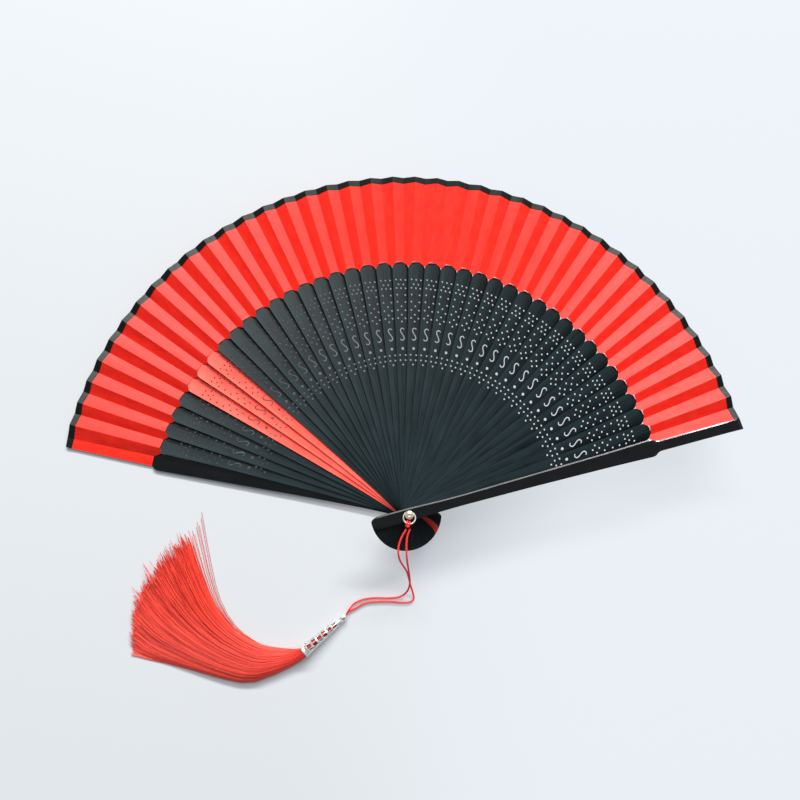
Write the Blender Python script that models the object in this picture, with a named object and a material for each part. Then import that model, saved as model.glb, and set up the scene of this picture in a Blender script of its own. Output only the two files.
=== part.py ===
"""Folding fan, open, lying on its back guard with its tassel beside it.

Thirty-nine thin ribs and two thick guards turn on one rivet. Each rib is a blade that narrows to a slip,
and the pleated silk leaf lies on the slips. A split ring under the rivet's head carries the tassel.
The rivet's axis is Z, the fan opens about +Y, and the back guard's outer face is at Z = 0.
"""

import math

import bmesh
import bpy
from mathutils import Matrix, Vector

MM = 0.001

# the fan as a whole
RIB_COUNT = 39
OPEN_SPREAD = 153.5
BACK_GUARD_EXTRA = 0.3
GUARD_LENGTH = 190.0
HEAD_LENGTH = 20.3
LEAF_DEPTH = 49.6
LEAF_OVERHANG = 1.5
BORDER_WIDTH = 3.2
VALLEY_CUT = 0.3

# ribs
RIB_THICKNESS = 0.36
RIB_GAP = 0.14
RIB_WAIST = 5.6
RIB_TIP_WIDTH = 9.6
BLADE_TWIST = 12.0
SLIP_TWIST = 22.0
SLIP_THICKNESS = 0.30
SLIP_EDGE = -0.3
SLIP_WIDTH = 2.0
SLIP_SHORTFALL = 4.8
RED_RIBS = (5, 6, 7)

# guards
GUARD_THICKNESS = 2.6
GUARD_NARROW_THICKNESS = 1.15
GUARD_NARROW_LEFT = 3.0
GUARD_NARROW_RIGHT = 2.8
GUARD_TIP_FLARE = 0.3
BACK_SHOULDER = 2.6

# leaf
LEAF_THICKNESS = 0.30
FIT_GAP = 0.30

# rivet and ring
RIVET_RADIUS = 1.0
RIVET_NECK_RADIUS = 0.9
RIVET_HEAD_RADIUS = 2.35
RIVET_HEAD_HEIGHT = 1.4
RIVET_FOOT_RADIUS = 2.4
RIVET_FOOT_HEIGHT = 0.6
RING_RADIUS = 3.15
RING_WIRE_RADIUS = 0.4
RING_OFFSET = 1.5
RING_TILT = 12.0
HITCH_ANGLE = -105.0

# tassel
CORD_DIAMETER = 1.1
CAP_START = Vector((-34.7, -55.8, 1.6))
CAP_END = Vector((-57.9, -73.3, 3.7))
CAP_START_RADIUS = 1.15
CAP_END_RADIUS = 3.4
CAP_WALL = 0.5

# values that follow from the sizes above
BLADE_END = GUARD_LENGTH - LEAF_DEPTH
LEAF_INNER = BLADE_END + 0.8
LEAF_OUTER = GUARD_LENGTH + LEAF_OVERHANG
SLIP_END = LEAF_OUTER - SLIP_SHORTFALL
RIVET_HOLE_RADIUS = RIVET_RADIUS + FIT_GAP
RIB_PITCH = RIB_THICKNESS + RIB_GAP
STEP = OPEN_SPREAD / (RIB_COUNT + 1)
FIRST_RIB_HEIGHT = GUARD_THICKNESS + RIB_GAP / 2 + RIB_PITCH / 2
LAST_RIB_HEIGHT = FIRST_RIB_HEIGHT + (RIB_COUNT - 1) * RIB_PITCH
FRONT_GUARD_BASE = LAST_RIB_HEIGHT + RIB_PITCH / 2 + RIB_GAP / 2
FRONT_GUARD_TOP = FRONT_GUARD_BASE + GUARD_THICKNESS
BLADE_LIFT = RIB_TIP_WIDTH / 2 * math.sin(math.radians(BLADE_TWIST))
NARROW_STEP = GUARD_THICKNESS - GUARD_NARROW_THICKNESS
HITCH_HEIGHT = FRONT_GUARD_TOP + FIT_GAP + CORD_DIAMETER + RING_WIRE_RADIUS + FIT_GAP
RING_CENTRE_HEIGHT = HITCH_HEIGHT - RING_RADIUS * math.sin(math.radians(RING_TILT))
RIVET_HEAD_BASE = RING_CENTRE_HEIGHT + 0.2


def clear_scene():
    for old in list(bpy.data.objects):
        bpy.data.objects.remove(old, do_unlink=True)


def make_material(name, colour, roughness, metallic=0.0):
    material = bpy.data.materials.new(name)
    material.use_nodes = True
    shader = material.node_tree.nodes["Principled BSDF"]
    shader.inputs["Base Color"].default_value = (*colour, 1.0)
    shader.inputs["Roughness"].default_value = roughness
    shader.inputs["Metallic"].default_value = metallic
    material.diffuse_color = (*colour, 1.0)
    return material


def add_object(name, bm, material, smooth=False):
    bmesh.ops.recalc_face_normals(bm, faces=bm.faces)
    bmesh.ops.scale(bm, vec=(MM, MM, MM), verts=bm.verts)
    mesh = bpy.data.meshes.new(name)
    bm.to_mesh(mesh)
    bm.free()
    for polygon in mesh.polygons:
        polygon.use_smooth = smooth
    mesh.materials.append(material)
    item = bpy.data.objects.new(name, mesh)
    bpy.context.scene.collection.objects.link(item)
    return item


def stick_angle(index):
    """Direction of a stick: 0 is the back guard, RIB_COUNT + 1 the front guard."""
    extra = BACK_GUARD_EXTRA if index == 0 else 0.0
    return math.radians(90.0 + OPEN_SPREAD / 2 + extra - index * STEP)


def rib_height(index):
    return FIRST_RIB_HEIGHT + (index - 1) * RIB_PITCH


def blade_profile():
    """Half widths of a blade, from the end of its head to its tip."""
    waist = RIB_WAIST / 2
    tip = RIB_TIP_WIDTH / 2
    return [
        (-HEAD_LENGTH, 0.8),
        (-HEAD_LENGTH + 1.6, waist - 0.1),
        (-HEAD_LENGTH + 6.0, waist + 0.5),
        (0.0, waist + 0.55),
        (22.0, waist),
        (BLADE_END * 0.39, waist + 0.2),
        (BLADE_END * 0.6, waist + (tip - waist) * 0.33),
        (BLADE_END * 0.82, waist + (tip - waist) * 0.66),
        (BLADE_END - 3.4, tip),
        (BLADE_END - 1.2, tip - 0.4),
        (BLADE_END, tip - 2.2),
    ]


def fill_outline(outline, hole_radius):
    """A flat plate with the given outline and a round hole on the axis."""
    bm = bmesh.new()
    points = [bm.verts.new((x, y, 0.0)) for x, y in outline]
    for first, second in zip(points, points[1:] + points[:1]):
        bm.edges.new((first, second))
    bmesh.ops.create_circle(bm, cap_ends=False, radius=hole_radius, segments=10)
    bmesh.ops.triangle_fill(bm, use_beauty=True, use_dissolve=False, edges=bm.edges[:])
    return bm


def thicken(bm, thickness):
    grown = bmesh.ops.extrude_face_region(bm, geom=bm.faces[:])["geom"]
    top = [item for item in grown if isinstance(item, bmesh.types.BMVert)]
    bmesh.ops.translate(bm, vec=(0.0, 0.0, thickness), verts=top)


def cut_across(bm, stations):
    for station in stations:
        everything = bm.verts[:] + bm.edges[:] + bm.faces[:]
        bmesh.ops.bisect_plane(
            bm, geom=everything, dist=0.0001, plane_co=(station, 0, 0), plane_no=(1, 0, 0)
        )


def rib_twist(distance):
    """Tilt of a rib about its own length, the edge towards the back guard going up."""
    if distance <= 20.0:
        return 0.0
    if distance <= BLADE_END:
        return BLADE_TWIST * (distance - 20.0) / (BLADE_END - 20.0)
    along = min(1.0, (distance - BLADE_END) / 10.0)
    return BLADE_TWIST + (SLIP_TWIST - BLADE_TWIST) * along


def rib_shape():
    """One rib along +X: head, blade and slip in one thin piece, tilted more and more outwards."""
    left = blade_profile()
    slip_left = [
        (BLADE_END, SLIP_EDGE),
        (SLIP_END, SLIP_EDGE),
    ]
    slip_right = [
        (SLIP_END, SLIP_EDGE - SLIP_WIDTH),
        (BLADE_END, SLIP_EDGE - SLIP_WIDTH),
    ]
    right = [(x, -y) for x, y in reversed(left)]
    bm = fill_outline(left + slip_left + slip_right + right, RIVET_HOLE_RADIUS)
    thicken(bm, RIB_THICKNESS)
    bmesh.ops.translate(bm, vec=(0.0, 0.0, -RIB_THICKNESS / 2), verts=bm.verts)
    cut_across(bm, (20.0, BLADE_END * 0.39, BLADE_END * 0.6, BLADE_END * 0.82, BLADE_END + 10.0))
    rows = {}
    for vert in bm.verts:
        rows.setdefault(round(vert.co.x, 3), []).append(vert)
    for distance, row in rows.items():
        if distance > BLADE_END + 0.01:
            flatter = (1.0, 1.0, SLIP_THICKNESS / RIB_THICKNESS)
            bmesh.ops.scale(bm, vec=flatter, verts=row)
        turn = Matrix.Rotation(math.radians(rib_twist(distance)), 3, "X")
        bmesh.ops.rotate(bm, cent=(0.0, 0.0, 0.0), matrix=turn, verts=row)
    return bm


def guard_relief(distance, shoulder):
    """How far a guard's inner face is cut back to clear the tilted ribs."""
    if distance <= 20.0:
        return 0.0
    if distance <= BLADE_END + shoulder + 0.01:
        return (BLADE_LIFT + 0.05) * (distance - 20.0) / (BLADE_END - 20.0)
    return NARROW_STEP


def guard_shape(inner_face_up, shoulder):
    """One guard along +X, standing on Z = 0, its wide part longer than a rib's blade by the shoulder."""
    left = blade_profile()
    narrow = [
        (BLADE_END + shoulder, GUARD_NARROW_LEFT),
        (GUARD_LENGTH - 0.6, GUARD_NARROW_LEFT + GUARD_TIP_FLARE),
        (GUARD_LENGTH, GUARD_NARROW_LEFT + GUARD_TIP_FLARE - 0.6),
        (GUARD_LENGTH, 0.6 - GUARD_NARROW_RIGHT - GUARD_TIP_FLARE),
        (GUARD_LENGTH - 0.6, -GUARD_NARROW_RIGHT - GUARD_TIP_FLARE),
        (BLADE_END + shoulder, -GUARD_NARROW_RIGHT),
    ]
    left = left[:-3] + [(x + shoulder, y) for x, y in left[-3:-1]]
    right = [(x, -y) for x, y in reversed(left)]
    bm = fill_outline(left + narrow + right, RIVET_HOLE_RADIUS)
    thicken(bm, GUARD_THICKNESS)
    cut_across(bm, (20.0, BLADE_END + shoulder + 0.6))
    middle = GUARD_THICKNESS / 2
    rows = {}
    for vert in bm.verts:
        if (vert.co.z > middle) == inner_face_up:
            rows.setdefault(round(vert.co.x, 3), []).append(vert)
    direction = -1.0 if inner_face_up else 1.0
    for distance, row in rows.items():
        shift = direction * guard_relief(distance, shoulder)
        bmesh.ops.translate(bm, vec=(0.0, 0.0, shift), verts=row)
    return bm


def place_stick(item, index, height):
    item.location = (0.0, 0.0, height * MM)
    item.rotation_euler = (0.0, 0.0, stick_angle(index))


def make_cutter(name, radius, bottom, top):
    bm = bmesh.new()
    bmesh.ops.create_cone(
        bm, cap_ends=True, segments=16, radius1=radius, radius2=radius, depth=top - bottom
    )
    bmesh.ops.translate(bm, vec=(0.0, 0.0, (top + bottom) / 2), verts=bm.verts)
    cutter = add_object(name, bm, wood_black)
    cutter.hide_render = True
    cutter.display_type = "WIRE"
    return cutter


def height_over_slip(distance, offset):
    """Height of the leaf's middle over a rib's centre line, clear of the slip at a sideways offset."""
    twist = math.radians(rib_twist(distance))
    return offset * math.tan(twist) + SLIP_THICKNESS / 2 / math.cos(twist) + FIT_GAP + LEAF_THICKNESS / 2


def panel_heights(index, distance):
    """Heights of the valley and the ridge at the two edges of the panel that lies on a stick."""
    if index == 0:
        flat = GUARD_NARROW_THICKNESS + FIT_GAP + LEAF_THICKNESS / 2
        return flat, flat
    last = RIB_COUNT + 1
    under_front = FRONT_GUARD_BASE + NARROW_STEP - FIT_GAP - LEAF_THICKNESS / 2
    if index == last:
        return under_front, under_front
    half = distance * math.radians(STEP / 4)
    slope = math.tan(math.radians(SLIP_TWIST))
    slip_edges = (SLIP_EDGE, SLIP_EDGE - SLIP_WIDTH)
    lift = max(height_over_slip(distance, edge) - slope * edge for edge in slip_edges)
    middle = rib_height(index)
    highest = under_front - 0.42 * (last - index) - middle
    ridge = min(lift + half * slope, highest)
    valley = lift - half * slope
    for edge in slip_edges:
        share = (half + edge) / (2 * half)
        valley = max(valley, (height_over_slip(distance, edge) - share * ridge) / (1 - share))
    return middle + valley, middle + ridge


def pleated_strip(inner, outer, inner_cut, outer_cut):
    """Accordion folds from guard to guard between two radii. The cuts draw the valleys' ends inwards."""
    bm = bmesh.new()
    quarter = math.radians(STEP / 4)
    inner_row = []
    outer_row = []
    for index in range(RIB_COUNT + 2):
        for side in (1, -1):
            angle = stick_angle(index) + side * quarter
            for edge, cut, row in ((inner, inner_cut, inner_row), (outer, outer_cut, outer_row)):
                distance = edge if side == 1 else edge - cut
                if index == 0 and edge == LEAF_INNER:
                    distance += BACK_SHOULDER
                valley, ridge = panel_heights(index, distance)
                height = ridge if side == 1 else valley
                row.append((distance * math.cos(angle), distance * math.sin(angle), height))
    line = [bm.verts.new(point) for point in inner_row]
    folds = [bm.edges.new(pair) for pair in zip(line, line[1:])]
    grown = bmesh.ops.extrude_edge_only(bm, edges=folds)["geom"]
    far_side = [item for item in grown if isinstance(item, bmesh.types.BMVert)]
    for vert in far_side:
        nearest = min(range(len(inner_row)), key=lambda n: (Vector(inner_row[n]) - vert.co).length)
        vert.co = outer_row[nearest]
    bmesh.ops.triangulate(bm, faces=bm.faces[:])
    grown = bmesh.ops.extrude_face_region(bm, geom=bm.faces[:])["geom"]
    upper = [item for item in grown if isinstance(item, bmesh.types.BMVert)]
    lower = [vert for vert in bm.verts if vert not in set(upper)]
    bmesh.ops.translate(bm, vec=(0.0, 0.0, LEAF_THICKNESS / 2), verts=upper)
    bmesh.ops.translate(bm, vec=(0.0, 0.0, -LEAF_THICKNESS / 2), verts=lower)
    return bm


def turned_shape(profile, steps):
    """A closed ring of points in the XZ plane, turned about Z."""
    bm = bmesh.new()
    ring = [bm.verts.new((radius, 0.0, height)) for radius, height in profile]
    edges = [bm.edges.new(pair) for pair in zip(ring, ring[1:] + ring[:1])]
    bmesh.ops.spin(
        bm,
        geom=ring + edges,
        cent=(0.0, 0.0, 0.0),
        axis=(0.0, 0.0, 1.0),
        angle=2 * math.pi,
        steps=steps,
        use_merge=True,
        use_duplicate=False,
    )
    return bm


def turned_solid(profile, steps):
    """An open line of points from axis to axis in the XZ plane, turned about Z."""
    bm = bmesh.new()
    line = [bm.verts.new((radius, 0.0, height)) for radius, height in profile]
    edges = [bm.edges.new(pair) for pair in zip(line, line[1:])]
    bmesh.ops.spin(
        bm,
        geom=line + edges,
        cent=(0.0, 0.0, 0.0),
        axis=(0.0, 0.0, 1.0),
        angle=2 * math.pi,
        steps=steps,
        use_merge=True,
        use_duplicate=False,
    )
    bmesh.ops.remove_doubles(bm, verts=bm.verts, dist=0.0001)
    return bm


def rivet_shape():
    """Foot sunk in the back guard, shaft through every stick, neck for the ring, domed head."""
    base = RIVET_HEAD_BASE
    rise = RIVET_HEAD_HEIGHT
    wide = RIVET_HEAD_RADIUS
    return turned_solid(
        [
            (0.0, 0.0),
            (RIVET_FOOT_RADIUS, 0.0),
            (RIVET_FOOT_RADIUS, RIVET_FOOT_HEIGHT),
            (RIVET_RADIUS, RIVET_FOOT_HEIGHT),
            (RIVET_RADIUS, FRONT_GUARD_TOP),
            (RIVET_NECK_RADIUS, FRONT_GUARD_TOP + 0.1),
            (RIVET_NECK_RADIUS, base),
            (wide, base),
            (wide * 0.97, base + rise * 0.35),
            (wide * 0.78, base + rise * 0.7),
            (wide * 0.42, base + rise * 0.94),
            (0.0, base + rise),
        ],
        16,
    )


def torus_shape(radius, wire, around, section):
    """A ring of round wire about Z."""
    profile = []
    for step in range(section):
        turn = 2 * math.pi * step / section
        profile.append((radius + wire * math.cos(turn), wire * math.sin(turn)))
    return turned_shape(profile, around)


def ring_point(angle):
    """Centre of the ring's wire at an angle about the ring's own centre."""
    turn = math.radians(angle)
    tilt = math.radians(RING_TILT)
    across = RING_RADIUS * math.cos(turn)
    along = RING_RADIUS * math.sin(turn)
    return Vector(
        (across, along * math.cos(tilt) - RING_OFFSET, RING_CENTRE_HEIGHT - along * math.sin(tilt))
    )


def smooth_path(points, count):
    """Evenly spaced points on a smooth curve through the given ones."""
    padded = [points[0] * 2 - points[1]] + points + [points[-1] * 2 - points[-2]]
    dense = []
    for first, start, end, last in zip(padded, padded[1:], padded[2:], padded[3:]):
        for step in range(24):
            t = step / 24
            dense.append(
                0.5
                * (
                    2 * start
                    + (end - first) * t
                    + (2 * first - 5 * start + 4 * end - last) * t * t
                    + (3 * start - first - 3 * end + last) * t * t * t
                )
            )
    dense.append(points[-1])
    lengths = [0.0]
    for start, end in zip(dense, dense[1:]):
        lengths.append(lengths[-1] + (end - start).length)
    path = []
    place = 0
    for number in range(count):
        wanted = lengths[-1] * number / (count - 1)
        while place < len(lengths) - 2 and lengths[place + 1] < wanted:
            place += 1
        span = lengths[place + 1] - lengths[place]
        share = 0.0 if span == 0 else (wanted - lengths[place]) / span
        path.append(dense[place].lerp(dense[place + 1], share))
    return path


def make_cord(name, points, count, material):
    path = smooth_path([Vector(point) for point in points], count)
    curve = bpy.data.curves.new(name, "CURVE")
    curve.dimensions = "3D"
    curve.bevel_depth = CORD_DIAMETER / 2 * MM
    curve.bevel_resolution = 2
    curve.use_fill_caps = True
    line = curve.splines.new("POLY")
    line.points.add(len(path) - 1)
    for place, point in zip(line.points, path):
        place.co = (point.x * MM, point.y * MM, point.z * MM, 1.0)
    curve.materials.append(material)
    item = bpy.data.objects.new(name, curve)
    bpy.context.scene.collection.objects.link(item)
    return item


def along_cap(bm):
    """Turn a shape made about +Z so that it lies from the cap's cord end to its wide end."""
    direction = (CAP_END - CAP_START).normalized()
    turn = direction.to_track_quat("Z", "Y").to_matrix()
    bmesh.ops.rotate(bm, cent=(0.0, 0.0, 0.0), matrix=turn, verts=bm.verts)
    bmesh.ops.translate(bm, vec=CAP_START, verts=bm.verts)


def skirt_shape():
    """The bunch of threads beyond the cap: a flat sheaf that curves and opens out."""
    rows = [
        ((-56.7, -75.7), (-60.0, -71.7), 2.6),
        ((-63.8, -81.0), (-64.0, -72.4), 4.3),
        ((-84.4, -88.5), (-76.3, -70.6), 5.2),
        ((-99.0, -86.8), (-84.8, -67.6), 5.2),
        ((-115.5, -81.5), (-96.0, -60.0), 4.6),
        ((-130.5, -76.3), (-105.8, -47.8), 4.0),
        ((-141.5, -72.6), (-113.0, -32.0), 3.4),
        ((-148.1, -68.9), (-119.5, -13.4), 2.6),
    ]
    across = 6
    bm = bmesh.new()
    bmesh.ops.create_grid(bm, x_segments=len(rows) - 1, y_segments=across, size=1.0)
    for vert in bm.verts:
        row = round((vert.co.x + 1) / 2 * (len(rows) - 1))
        share = (vert.co.y + 1) / 2
        low, high, thick = rows[row]
        point = Vector(low).lerp(Vector(high), share)
        bulge = math.sin(math.pi * share)
        if row == len(rows) - 1:
            point += Vector((-12.0, 4.0)) * bulge
        vert.co = (point.x, point.y, 0.9 + thick * bulge)
    bmesh.ops.triangulate(bm, faces=bm.faces[:])
    grown = bmesh.ops.extrude_face_region(bm, geom=bm.faces[:])["geom"]
    under = [item for item in grown if isinstance(item, bmesh.types.BMVert)]
    for vert in under:
        vert.co.z = 0.4
    return bm


clear_scene()

wood_black = make_material("black dyed bamboo", (0.018, 0.022, 0.022), 0.55)
wood_red = make_material("red dyed bamboo", (0.75, 0.07, 0.04), 0.5)
lacquer = make_material("black lacquer", (0.008, 0.008, 0.009), 0.18)
silk = make_material("red silk", (0.8, 0.045, 0.025), 0.6)
edging = make_material("dark green edging", (0.012, 0.03, 0.024), 0.6)
rivet_metal = make_material("pale gold rivet metal", (0.83, 0.78, 0.66), 0.22, 1.0)
wire_metal = make_material("steel wire", (0.7, 0.7, 0.7), 0.3, 1.0)
silver = make_material("silver filigree metal", (0.75, 0.76, 0.77), 0.28, 1.0)
cord_red = make_material("red cord", (0.72, 0.03, 0.025), 0.65)
thread_red = make_material("red thread", (0.75, 0.03, 0.03), 0.6)

# guards
rivet_hole = make_cutter("rivet_hole_cutter", RIVET_FOOT_RADIUS + FIT_GAP, -1.0, 0.9)
back_guard = add_object("back_guard", guard_shape(inner_face_up=True, shoulder=BACK_SHOULDER), lacquer)
place_stick(back_guard, 0, 0.0)
sink = back_guard.modifiers.new("sink for the rivet foot", "BOOLEAN")
sink.operation = "DIFFERENCE"
sink.solver = "EXACT"
sink.object = rivet_hole

front_guard = add_object("front_guard", guard_shape(inner_face_up=False, shoulder=0.0), lacquer)
place_stick(front_guard, RIB_COUNT + 1, FRONT_GUARD_BASE)

# ribs
for number in range(1, RIB_COUNT + 1):
    colour = "red" if number in RED_RIBS else "black"
    wood = wood_red if colour == "red" else wood_black
    rib = add_object(f"rib_{number:02d}_{colour}", rib_shape(), wood)
    place_stick(rib, number, rib_height(number))

# leaf and its edging
border_inner = LEAF_OUTER - BORDER_WIDTH
leaf = pleated_strip(LEAF_INNER, border_inner, 0.0, VALLEY_CUT)
border = pleated_strip(border_inner + 0.25, LEAF_OUTER, VALLEY_CUT, VALLEY_CUT)
add_object("silk_leaf", leaf, silk)
add_object("leaf_edging", border, edging)

# rivet
add_object("rivet", rivet_shape(), rivet_metal, smooth=True)

# ring round the rivet's neck
ring = torus_shape(RING_RADIUS, RING_WIRE_RADIUS, 24, 8)
bmesh.ops.rotate(
    ring, cent=(0, 0, 0), matrix=Matrix.Rotation(math.radians(-RING_TILT), 3, "X"), verts=ring.verts
)
bmesh.ops.translate(ring, vec=(0.0, -RING_OFFSET, RING_CENTRE_HEIGHT), verts=ring.verts)
add_object("tassel_ring", ring, wire_metal, smooth=True)

# the cord's hitch: one turn of cord round the ring's wire
knot_centre = ring_point(HITCH_ANGLE)
hitch = torus_shape(RING_WIRE_RADIUS + FIT_GAP + CORD_DIAMETER / 2, CORD_DIAMETER / 2, 16, 8)
bmesh.ops.rotate(hitch, cent=(0, 0, 0), matrix=Matrix.Rotation(math.pi / 2, 3, "X"), verts=hitch.verts)
bmesh.ops.rotate(
    hitch, cent=(0, 0, 0), matrix=Matrix.Rotation(math.radians(HITCH_ANGLE), 3, "Z"), verts=hitch.verts
)
bmesh.ops.translate(hitch, vec=knot_centre, verts=hitch.verts)
add_object("cord_hitch", hitch, cord_red, smooth=True)

# the two strands, over the heads of the sticks and down on to the table
knot = knot_centre
top = FRONT_GUARD_TOP + FIT_GAP + CORD_DIAMETER / 2
left_points = [
    (knot.x - 0.95, knot.y - 2.75, knot.z - 0.1),
    (-4.3, -11.2, top + 0.75),
    (-6.0, -15.8, top + 0.6),
    (-6.2, -20.2, top + 0.1),
    (-5.2, -24.0, top - 3.0),
    (-3.2, -27.6, top - 8.0),
    (-1.1, -31.6, top - 13.5),
    (0.2, -36.0, top - 18.4),
    (1.3, -40.6, 3.9),
    (2.7, -45.0, 1.8),
    (3.0, -48.2, 1.0),
    (0.9, -49.9, 0.85),
    (-4.0, -50.0, 0.85),
    (-10.2, -49.3, 0.85),
    (-16.9, -49.0, 0.85),
    (-23.6, -49.5, 0.85),
    (-29.1, -51.9, 0.95),
    (-33.1, -53.7, 1.2),
]
right_points = [
    (knot.x + 0.95, knot.y - 2.75, knot.z - 0.1),
    (-1.4, -11.0, top + 0.75),
    (-1.9, -14.5, top + 0.7),
    (-2.0, -18.5, top + 0.5),
    (-1.8, -22.5, top - 0.6),
    (-1.2, -26.5, top - 4.2),
    (-0.3, -31.2, top - 10.5),
    (0.4, -35.8, top - 15.0),
    (0.5, -38.8, 8.0),
    (-0.3, -42.6, 4.6),
    (-2.4, -45.4, 2.0),
    (-6.0, -47.1, 0.95),
    (-12.0, -47.3, 0.85),
    (-18.0, -46.9, 0.9),
    (-24.2, -47.3, 1.0),
    (-29.5, -49.1, 1.2),
    (-32.5, -51.9, 1.9),
]
make_cord("cord_left", left_points, 30, cord_red)
make_cord("cord_right", right_points, 30, cord_red)

# tassel
cap_length = (CAP_END - CAP_START).length
inner_start = CAP_START_RADIUS - CAP_WALL
inner_end = CAP_END_RADIUS - CAP_WALL
cap = turned_shape(
    [
        (CAP_START_RADIUS, 0.0),
        (CAP_START_RADIUS + 0.9, cap_length * 0.3),
        (CAP_END_RADIUS - 0.2, cap_length * 0.75),
        (CAP_END_RADIUS, cap_length * 0.84),
        (CAP_END_RADIUS, cap_length),
        (inner_end, cap_length),
        (inner_end - 0.2, cap_length * 0.75),
        (inner_start + 0.9, cap_length * 0.3),
        (inner_start, 0.0),
    ],
    16,
)
along_cap(cap)
add_object("tassel_cap", cap, silver, smooth=True)

core = turned_solid(
    [
        (0.0, cap_length * 0.12),
        (inner_start - 0.1, cap_length * 0.12),
        (inner_start + 0.9 - FIT_GAP, cap_length * 0.3),
        (inner_end - 0.2 - FIT_GAP, cap_length * 0.75),
        (inner_end - 0.2 - FIT_GAP, cap_length - 0.2),
        (0.0, cap_length - 0.2),
    ],
    12,
)
along_cap(core)
add_object("tassel_core", core, thread_red, smooth=True)

add_object("tassel_skirt", skirt_shape(), thread_red, smooth=True)
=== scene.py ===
"""Finished look of an open folding fan: pierced dyed ribs, lacquered guards, pleated silk and a tassel.

Shapes are drawn in millimetres and made metres when they become objects. A stick is drawn along +X with
the rivet at the origin, +Y towards the back guard, and is then turned to its place in the fan.
"""

import math
import random

import bmesh
import bpy
from mathutils import Matrix, Vector, noise


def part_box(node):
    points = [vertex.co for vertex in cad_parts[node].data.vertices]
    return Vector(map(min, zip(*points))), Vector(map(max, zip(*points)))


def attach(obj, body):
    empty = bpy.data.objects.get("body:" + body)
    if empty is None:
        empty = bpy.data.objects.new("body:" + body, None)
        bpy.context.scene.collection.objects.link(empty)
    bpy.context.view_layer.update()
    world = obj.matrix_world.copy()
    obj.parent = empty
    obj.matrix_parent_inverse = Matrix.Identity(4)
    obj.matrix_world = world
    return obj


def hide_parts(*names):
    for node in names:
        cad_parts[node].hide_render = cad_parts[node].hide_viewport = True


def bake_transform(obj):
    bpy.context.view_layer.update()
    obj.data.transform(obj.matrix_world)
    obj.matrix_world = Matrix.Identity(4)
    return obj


MM = 0.001

# the fan as a whole
RIB_COUNT = 39
OPEN_SPREAD = 153.5
BACK_GUARD_EXTRA = 0.3
BACK_SHOULDER = 2.6
GUARD_LENGTH = 190.0
HEAD_LENGTH = 20.3
BLADE_END = 140.4
LEAF_INNER = 141.1
LEAF_OUTER = 191.5
VALLEY_CUT = -0.4
BORDER_WIDTH = 3.2
RED_RIBS = (5, 6, 7)

# sticks
RIB_THICKNESS = 0.36
RIB_GAP = 0.14
SLIP_THICKNESS = 0.30
SLIP_END = 186.7
SLIP_EDGE = -0.3
SLIP_WIDTH = 2.0
BLADE_TWIST = 12.0
SLIP_TWIST = 22.0
TWIST_START = 20.0
TWIST_CHANGE = 10.0
TIP_END = 141.1
TIP_CORNER = 4.0
TIP_HALF_WIDTH = 4.8
HEAD_START = -14.3
GUARD_THICKNESS = 2.6
GUARD_NARROW_THICKNESS = 1.15
GUARD_OUTER_EDGE = 0.65
GUARD_INNER_EDGE = 0.25
GUARD_EDGE_SLOPE = 0.5
RIVET_HOLE = 1.3
RIVET_FOOT_HOLE = 2.7

# piercing: distance from the rivet and offsets across the blade
DOT_RADIUS = 0.53
DOT_ROWS = (
    (130.9, (-2.75, 0.0, 2.75)),
    (128.2, (-1.4, 1.4)),
    (126.0, (-2.6, 0.0, 2.6)),
    (122.1, (-2.3, 2.3)),
    (118.0, (-2.3, 2.3)),
    (115.5, (0.0,)),
    (113.2, (-2.2, 2.2)),
    (110.6, (0.0,)),
    (108.6, (-2.1, 2.1)),
    (106.7, (0.0,)),
    (87.5, (-1.6, 1.6)),
    (84.6, (-1.4, 1.4)),
    (82.1, (0.0,)),
)
SCROLL_HEIGHT = 3.5
SCROLL_WIDTH = 1.15
SCROLL_CENTRE = 99.4
SCROLL_STROKE = 0.32
DROP_CENTRE = 91.3
DROP_LENGTH = 0.75
DROP_WIDTH = 0.8

# leaf
LEAF_THICKNESS = 0.10
LEAF_GAP = 0.03
EDGING_THICKNESS = 0.26
BACK_WRAP = (2.9, 2.0)
LEAF_WRINKLE = 0.35
LEAF_TONGUE = 2.4
HEM_OVERLAP = 1.4

# rivet
RIVET_HEAD_RADIUS = 2.35
RIVET_HEAD_HEIGHT = 1.4
RIVET_FOOT_RADIUS = 2.4
RIVET_FOOT_HEIGHT = 0.6
RIVET_SHAFT_RADIUS = 1.0
RIVET_NECK_RADIUS = 0.9

# tassel
CORD_DIAMETER = 1.1
CORD_CLEARANCE = 0.3
RING_RADIUS = 3.15
RING_WIRE = 0.4
RING_TILT = 12.0
HITCH_ANGLE = -105.0
CAP_START = Vector((-34.7, -55.8, 1.6))
CAP_END = Vector((-57.9, -73.3, 3.7))
CAP_START_RADIUS = 1.15
CAP_END_RADIUS = 3.4
CAP_WALL = 0.3
THREAD_COUNT = 2100
THREAD_RADIUS = 0.15
LONG_STRAYS = 9
SHORT_STRAYS = 6

# values that follow from the sizes above
STEP = OPEN_SPREAD / (RIB_COUNT + 1)
LAST = RIB_COUNT + 1
RIB_PITCH = RIB_THICKNESS + RIB_GAP
FIRST_RIB = GUARD_THICKNESS + RIB_GAP / 2 + RIB_PITCH / 2

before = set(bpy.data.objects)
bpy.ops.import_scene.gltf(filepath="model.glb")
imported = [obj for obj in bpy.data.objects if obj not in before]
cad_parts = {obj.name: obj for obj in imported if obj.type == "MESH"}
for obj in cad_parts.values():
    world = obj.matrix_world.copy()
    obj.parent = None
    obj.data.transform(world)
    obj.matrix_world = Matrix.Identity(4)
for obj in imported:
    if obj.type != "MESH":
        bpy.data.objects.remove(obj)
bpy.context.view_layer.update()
random.seed(7)

FRONT_GUARD_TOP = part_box("front_guard")[1].z / MM
FRONT_GUARD_BASE = FRONT_GUARD_TOP - GUARD_THICKNESS


# ---------------------------------------------------------------- places


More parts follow.
